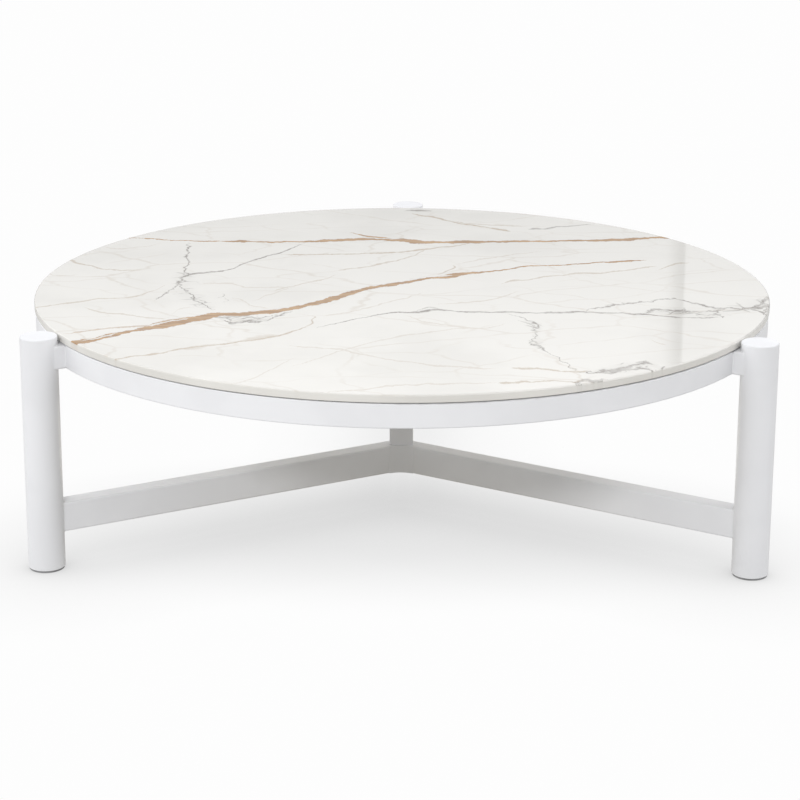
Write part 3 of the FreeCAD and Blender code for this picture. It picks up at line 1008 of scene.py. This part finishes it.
def bead_piece(name, runs, material):
    """Piece made of beads; each run is its sections and whether it closes on itself."""
    shape = bmesh.new()
    for rows, closed in runs:
        rings = [[shape.verts.new(point) for point in row] for row in rows]
        pairs = list(zip(rings, rings[1:]))
        if closed:
            pairs.append((rings[-1], rings[0]))
        else:
            shape.faces.new(rings[0])
            shape.faces.new(rings[-1][::-1])
        for here, there in pairs:
            for step in range(len(here)):
                shape.faces.new((here[step - 1], here[step], there[step], there[step - 1]))
    bmesh.ops.recalc_face_normals(shape, faces=shape.faces)
    for face in shape.faces:
        face.smooth = True
    for edge in shape.edges:
        if edge.calc_face_angle(math.pi) > SHARP:
            edge.smooth = False
    mesh = bpy.data.meshes.new(name)
    shape.to_mesh(mesh)
    shape.free()
    mesh.materials.append(material)
    piece = bpy.data.objects.new(name, mesh)
    bpy.context.scene.collection.objects.link(piece)
    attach(piece, BODY)
    return piece


def coat():
    """The powder coat, once it is made."""
    material = bpy.data.materials.get("white_powder_coat")
    if material is None:
        raise RuntimeError("the powder coat comes before the welds")
    return material


def leg_face(side):
    """Distance from the centre to a leg's inner face, at a distance to the side."""
    return LEG_CIRCLE - math.sqrt(LEG_RADIUS ** 2 - side ** 2)


def ring_face(radius):
    """Distance from the centre to a face of the ring, as a function of the side."""
    return lambda side: math.sqrt(radius ** 2 - side ** 2)


def post_face(azimuth):
    """Distance from the centre to the post's face along an azimuth, as a function of the side."""
    along = math.cos(azimuth)
    if abs(along) < STRAIGHT_BACK:
        return lambda side: POST_HALF
    return lambda side: (math.copysign(POST_HALF, along) + side * math.sin(azimuth)) / along


class TABLE_OT_stone_top(bpy.types.Operator):
    """Finish the stone top"""
    bl_idname = "table.stone_top"
    bl_label = "Stone top"

    def execute(self, context):
        dress(stone_material(context.scene.table_stone), "stone_top")
        return {"FINISHED"}


class TABLE_OT_coated_frame(bpy.types.Operator):
    """Coat the welded frame"""
    bl_idname = "table.coated_frame"
    bl_label = "Coated frame"

    def execute(self, context):
        material = coat_material(context.scene.table_coat, fine_grain_group())
        legs = [part + "_" + name for part in COATED_LEG_NODES for name in LEG_NAMES]
        dress(material, *COATED_NODES, *legs)
        return {"FINISHED"}


class TABLE_OT_pads(bpy.types.Operator):
    """Finish the silicone pads under the stone"""
    bl_idname = "table.pads"
    bl_label = "Pads"

    def execute(self, context):
        grain = bpy.data.node_groups["fine_grain"]
        colours = context.scene.table_small
        dress(moulded_material("silicone", colours.pad, SILICONE, grain), "ring_pads", "centre_pads")
        return {"FINISHED"}


class TABLE_OT_feet(bpy.types.Operator):
    """Finish the foot inserts, glides and stems"""
    bl_idname = "table.feet"
    bl_label = "Feet"

    def execute(self, context):
        grain = bpy.data.node_groups["fine_grain"]
        colours = context.scene.table_small
        insert = moulded_material("insert_plastic", colours.insert, INSERT_PLASTIC, grain)
        glide = moulded_material("nylon", colours.glide, NYLON, grain)
        stem = stem_material(colours, grain)
        for name in LEG_NAMES:
            dress(insert, "foot_insert_" + name)
            dress(glide, "glide_" + name)
            dress(stem, "glide_stem_" + name)
        return {"FINISHED"}


class TABLE_OT_leg_welds(bpy.types.Operator):
    """Lay the beads where rails and stubs meet the legs"""
    bl_idname = "table.leg_welds"
    bl_label = "Leg welds"

    def execute(self, context):
        sizes = context.scene.table_welds
        tubes = (("rail", RAIL_WIDTH, RAIL_LOW, RAIL_HIGH), ("stub", STUB_WIDTH, STUB_LOW, STUB_HIGH))
        for name in LEG_NAMES:
            for tube, width, low, high in tubes:
                outline = tube_outline(width, low, high, sizes.tube_corner)
                rows = tube_bead(leg_azimuth(name), outline, leg_face, sizes.leg_reach, -1.0)
                bead_piece("weld_" + tube + "_leg_" + name, [(rows, True)], coat())
        return {"FINISHED"}


class TABLE_OT_ring_welds(bpy.types.Operator):
    """Lay the beads where stubs and spokes meet the ring"""
    bl_idname = "table.ring_welds"
    bl_label = "Ring welds"

    def execute(self, context):
        sizes = context.scene.table_welds
        stub = tube_outline(STUB_WIDTH, STUB_LOW, STUB_HIGH, sizes.tube_corner)
        spoke = tube_outline(SPOKE_WIDTH, SPOKE_LOW, SPOKE_HIGH, sizes.tube_corner)
        under = stretch_of(spoke, lambda point: point.out_height < LEVEL)
        for name in LEG_NAMES:
            azimuth = leg_azimuth(name)
            runs = []
            for hand in (-1.0, 1.0):
                side = stretch_of(stub, lambda point: point.out_side * hand > FLAT_SIDE)
                runs.append((tube_bead(azimuth, side, ring_face(RING_OUTER), sizes.ring_reach, 1.0), False))
            bead_piece("weld_stub_ring_" + name, runs, coat())
            rows = tube_bead(azimuth, under, ring_face(RING_INNER), sizes.ring_reach, -1.0)
            bead_piece("weld_spoke_ring_" + name, [(rows, False)], coat())
        return {"FINISHED"}


class TABLE_OT_post_welds(bpy.types.Operator):
    """Lay the beads where rails and spokes meet the post, and the seams beside the corner filler"""
    bl_idname = "table.post_welds"
    bl_label = "Post welds"

    def execute(self, context):
        sizes = context.scene.table_welds
        reach = sizes.hub_reach
        rail = tube_outline(RAIL_WIDTH, RAIL_LOW, RAIL_HIGH, sizes.tube_corner)
        spoke = tube_outline(SPOKE_WIDTH, SPOKE_LOW, SPOKE_HIGH, sizes.tube_corner)
        for name in LEG_NAMES:
            azimuth = leg_azimuth(name)
            face = post_face(azimuth)

            def on_post(point):
                """True where a tube's outline lies on the post's own face."""
                return polar(azimuth, face(point.side), point.side, 0.0).y > POST_MARGIN - POST_HALF

            over = stretch_of(rail, lambda point: point.out_height > -LEVEL and on_post(point))
            rows = tube_bead(azimuth, over, face, reach, 1.0)
            bead_piece("weld_rail_post_" + name, [(rows, False)], coat())
            under = stretch_of(spoke, lambda point: point.out_height < LEVEL and on_post(point))
            rows = tube_bead(azimuth, under, face, reach, 1.0)
            bead_piece("weld_spoke_post_" + name, [(rows, False)], coat())
        seams = [(filler_seam(name, hand, sizes), False) for name, hand in FILLER_SIDES]
        bead_piece("seams_corner_filler", seams, coat())
        return {"FINISHED"}


def studio_world(settings):
    """Soft studio that is dim near the floor and bright above, and white to the camera."""
    world = bpy.data.worlds.new("studio")
    world.use_nodes = True
    tree = world.node_tree
    tree.nodes.clear()
    axes = split_axes(tree, tree.nodes.new("ShaderNodeTexCoord").outputs["Generated"])
    rays = tree.nodes.new("ShaderNodeLightPath").outputs
    rise = spread(tree, axes["Z"], *SKY_RISE, settings.sky_low, settings.sky_high, smooth=True)
    right = spread(tree, axes["Z"], *SKY_RISE, settings.low_right, settings.sky_right, smooth=True)
    tilt = multiply(tree, spread(tree, axes["X"], *LEFT_SIDE, settings.sky_left, 1.0),
                    spread(tree, axes["X"], *RIGHT_SIDE, 1.0, right))
    tilt = calculate(tree, "POWER", tilt, spread(tree, rays["Is Glossy Ray"], 0.0, 1.0, 1.0, MIRRORED_TILT))
    depth = spread(tree, axes["Y"], *FRONT_TO_BACK, settings.sky_front, settings.sky_back)
    over = spread(tree, axes["Z"], *OVERHEAD, 1.0, settings.sky_over, smooth=True)
    sweep = multiply(tree, spread(tree, axes["Z"], *SWEEP_RISE, settings.sweep_light, 0.0),
                     spread(tree, axes["Y"], *SWEEP_BACK))
    sweep = multiply(tree, sweep, calculate(tree, "SUBTRACT", 1.0, rays["Is Glossy Ray"]))
    turn = calculate(tree, "ARCTAN2", axes["X"], axes["Y"])
    flag = multiply(tree, spread(tree, turn, FLAG_LEFT, FLAG_RIGHT, smooth=True),
                    calculate(tree, "LESS_THAN", turn, FLAG_RIGHT))
    shade = spread(tree, flag, 0.0, 1.0, 1.0, 1.0 - settings.flag_depth)
    brightness = multiply(tree, multiply(tree, multiply(tree, rise, tilt), depth), over)
    brightness = multiply(tree, calculate(tree, "ADD", brightness, sweep), shade)
    light = tree.nodes.new("ShaderNodeBackground")
    light.inputs["Color"].default_value = SKY_TINT
    feed(tree, brightness, light.inputs["Strength"])
    plain = tree.nodes.new("ShaderNodeBackground")
    plain.inputs["Color"].default_value = WHITE
    seen = mix_shaders(tree, rays["Is Camera Ray"], light.outputs[0], plain.outputs[0])
    feed(tree, seen, tree.nodes.new("ShaderNodeOutputWorld").inputs["Surface"])
    return world


def key_light(settings):
    """Soft light at the front left that faces the middle of the table."""
    data = bpy.data.lights.new("key_light", "AREA")
    data.size = settings.key_size
    data.energy = settings.key_power
    light = bpy.data.objects.new("key_light", data)
    light.location = settings.key_place
    light.rotation_euler = (-Vector(settings.key_place)).to_track_quat("-Z", "Y").to_euler()
    light.visible_camera = False
    light.visible_glossy = False
    bpy.context.scene.collection.objects.link(light)
    return light


def floor_material(settings):
    """Floor finish that glows to stand in for light thrown back up, shows the camera white with a painted
    contact shadow, and is clear from below.
    """
    material, tree, shader, place = new_material("pale_floor")
    shader.inputs["Base Color"].default_value = (*settings.floor_colour, 1.0)
    shader.inputs["Roughness"].default_value = 1.0
    shader.inputs["Specular IOR Level"].default_value = 0.0
    shader.inputs["Emission Strength"].default_value = 1.0
    oval = tree.nodes.new("ShaderNodeVectorMath")
    oval.operation = "MULTIPLY_ADD"
    feed(tree, place, oval.inputs[0])
    oval.inputs[1].default_value = OVAL_STRETCH
    oval.inputs[2].default_value = OVAL_SHIFT
    open_floor = spread(tree, vector_length(tree, oval.outputs["Vector"]), *OVAL_FADE, smooth=True)
    # Painted glow in place of bounced light: dimmer in the oval under the table, brighter under its rear
    # half.
    bounce = blend_colours(tree, open_floor, settings.under_bounce_glow, settings.floor_bounce_glow)
    behind = multiply(tree, spread(tree, split_axes(tree, place)["Y"], *BACK_START, smooth=True),
                      spread(tree, vector_length(tree, place), *BACK_FADE, 1.0, 0.0, smooth=True))
    feed(tree, blend_colours(tree, behind, bounce, settings.back_bounce_glow), shader.inputs["Emission Color"])
    # To the camera the floor is a white glow with a painted shadow: darker where pieces above hide it, and
    # in the oval under the table.
    contact = tree.nodes.new("ShaderNodeAmbientOcclusion")
    contact.samples = CONTACT_SAMPLES
    contact.inputs["Distance"].default_value = settings.contact_reach
    shade = spread(tree, contact.outputs["AO"], 0.0, 1.0, 1.0 - settings.contact_depth, 1.0)
    painted_floor = tree.nodes.new("ShaderNodeEmission")
    painted_floor.inputs["Color"].default_value = (*settings.floor_white, 1.0)
    feed(tree, multiply(tree, shade, spread(tree, open_floor, 0.0, 1.0, OVAL_SHADE, 1.0)),
         painted_floor.inputs["Strength"])
    camera_ray = tree.nodes.new("ShaderNodeLightPath").outputs["Is Camera Ray"]
    seen = mix_shaders(tree, camera_ray, shader.outputs[0], painted_floor.outputs[0])
    backfacing = tree.nodes.new("ShaderNodeNewGeometry").outputs["Backfacing"]
    clear = tree.nodes.new("ShaderNodeBsdfTransparent").outputs[0]
    feed(tree, mix_shaders(tree, backfacing, seen, clear), tree.nodes["Material Output"].inputs["Surface"])
    return material


def pale_floor(settings):
    """Floor that is seen from above only."""
    half = settings.floor_size / 2
    corners = [(-half, -half, 0), (half, -half, 0), (half, half, 0), (-half, half, 0)]
    mesh = bpy.data.meshes.new("floor")
    mesh.from_pydata(corners, [], [(0, 1, 2, 3)])
    mesh.materials.append(floor_material(settings))
    floor = bpy.data.objects.new("floor", mesh)
    bpy.context.scene.collection.objects.link(floor)
    return floor


def photo_camera(settings):
    """Camera at the photograph's viewing angle."""
    data = bpy.data.cameras.new("camera")
    data.sensor_fit = "HORIZONTAL"
    data.sensor_width = SENSOR_WIDTH
    data.lens = settings.camera_lens
    data.shift_y = settings.camera_shift
    data.dof.use_dof = False
    camera = bpy.data.objects.new("camera", data)
    pitch, yaw, roll = settings.camera_turn
    camera.matrix_world = (
        Matrix.Translation(settings.camera_place)
        @ Matrix.Rotation(-yaw, 4, "Z")
        @ Matrix.Rotation(math.pi / 2 - pitch, 4, "X")
        @ Matrix.Rotation(-roll, 4, "Z"))
    bpy.context.scene.collection.objects.link(camera)
    return camera


class TABLE_OT_stage(bpy.types.Operator):
    """Set the floor, the studio light and the camera"""
    bl_idname = "table.stage"
    bl_label = "Stage"

    def execute(self, context):
        scene = context.scene
        settings = scene.table_stage
        pale_floor(settings)
        scene.world = studio_world(settings)
        key_light(settings)
        scene.camera = photo_camera(settings)
        scene.view_settings.view_transform = "Standard"
        return {"FINISHED"}


class TABLE_PT_pieces(bpy.types.Panel):
    """Pieces of the table in the order they are made, and their settings"""
    bl_label = "Round cocktail table"
    bl_idname = "TABLE_PT_pieces"
    bl_space_type = "VIEW_3D"
    bl_region_type = "UI"
    bl_category = "Table"

    def draw(self, context):
        for operator in OPERATORS:
            self.layout.operator(operator.bl_idname)
        for name, group in SETTINGS:
            box = self.layout.box()
            for label in group.__annotations__:
                box.prop(getattr(context.scene, name), label)


OPERATORS = (
    TABLE_OT_stone_top,
    TABLE_OT_coated_frame,
    TABLE_OT_pads,
    TABLE_OT_feet,
    TABLE_OT_leg_welds,
    TABLE_OT_ring_welds,
    TABLE_OT_post_welds,
    TABLE_OT_stage,
)
SETTINGS = (
    ("table_stone", StoneSettings),
    ("table_coat", CoatSettings),
    ("table_small", SmallPartSettings),
    ("table_welds", WeldSettings),
    ("table_stage", StageSettings),
)


def register():
    for name, group in SETTINGS:
        bpy.utils.register_class(group)
        setattr(bpy.types.Scene, name, PointerProperty(type=group))
    for operator in OPERATORS:
        bpy.utils.register_class(operator)
    bpy.utils.register_class(TABLE_PT_pieces)


def unregister():
    bpy.utils.unregister_class(TABLE_PT_pieces)
    for operator in reversed(OPERATORS):
        bpy.utils.unregister_class(operator)
    for name, group in reversed(SETTINGS):
        delattr(bpy.types.Scene, name)
        bpy.utils.unregister_class(group)


def main():
    register()
    for operator in OPERATORS:
        family, name = operator.bl_idname.split(".")
        getattr(getattr(bpy.ops, family), name)()


if __name__ == "__main__":
    main()
